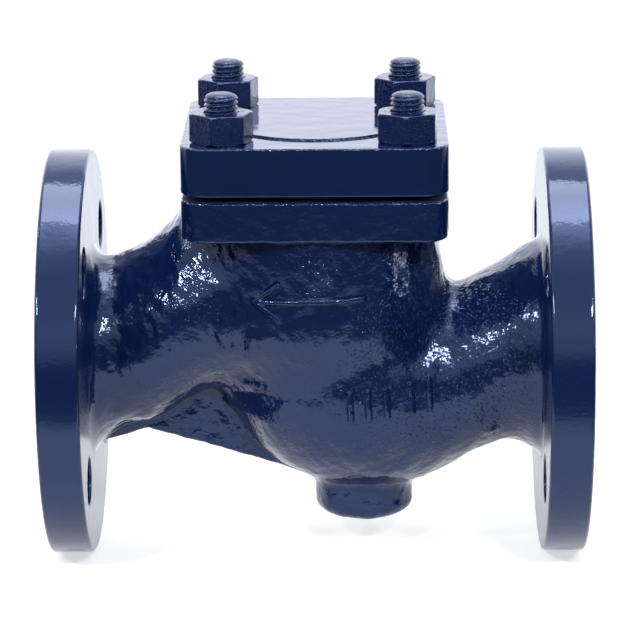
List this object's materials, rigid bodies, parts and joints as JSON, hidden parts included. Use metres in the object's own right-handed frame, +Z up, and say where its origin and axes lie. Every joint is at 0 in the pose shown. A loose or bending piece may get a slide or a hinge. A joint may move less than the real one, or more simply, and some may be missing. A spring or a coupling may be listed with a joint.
{
  "type": "check valve",
  "caption": "Flanged horizontal lift check valve: cast globe body, bolted square cover, and a spring-closed disc that lifts off its seat.",
  "frame": {"origin": "on the plane that the two pipe flanges stand on, below the crossing of the pipe axis and the cover axis", "axes": "+Z up through the cover, +X along the pipe axis towards the inlet flange, +Y square to both, towards the valve's back"},
  "size_m": [0.2, 0.15, 0.178],
  "materials": {
    "casting_paint": "glossy navy enamel brushed thickly over rough cast iron",
    "fastener_paint": "glossy navy enamel over steel nuts",
    "stud_paint": "thin navy enamel over steel threads",
    "graphite": "reinforced graphite sheet",
    "stainless": "machined stainless steel",
    "spring_steel": "drawn stainless spring wire",
    "bronze": "machined bronze",
    "ptfe": "filled PTFE sealing ring"
  },
  "bodies": {
    "housing": {"body": "casting_paint", "seat_ring": "stainless", "cover": "casting_paint", "cover_gasket": "graphite", "guide_bush": "bronze", "stud_front_left": "stud_paint", "stud_front_right": "stud_paint", "stud_rear_left": "stud_paint", "stud_rear_right": "stud_paint", "cover_nut_front_left": "fastener_paint", "cover_nut_front_right": "fastener_paint", "cover_nut_rear_left": "fastener_paint", "cover_nut_rear_right": "fastener_paint"},
    "stem": {"guide_stem": "stainless", "lock_washer": "stainless", "stem_nut": "stainless", "closing_spring": "spring_steel"},
    "disc": {"valve_disc": "stainless", "disc_seal": "ptfe", "seal_retainer": "stainless"}
  },
  "joints": [
    {"name": "disc_lift", "type": "slide", "parent": "housing", "child": "stem", "axis": [0, 0, 1], "range_m": [0, 0.012], "stiffness_N_per_m": 250, "springref_m": -0.012, "deforming": ["closing_spring"]},
    {"name": "disc_swivel", "type": "hinge", "parent": "stem", "child": "disc", "pos_m": [0, 0, 0.085], "axis": [0, 0, 1], "continuous": true}
  ]
}
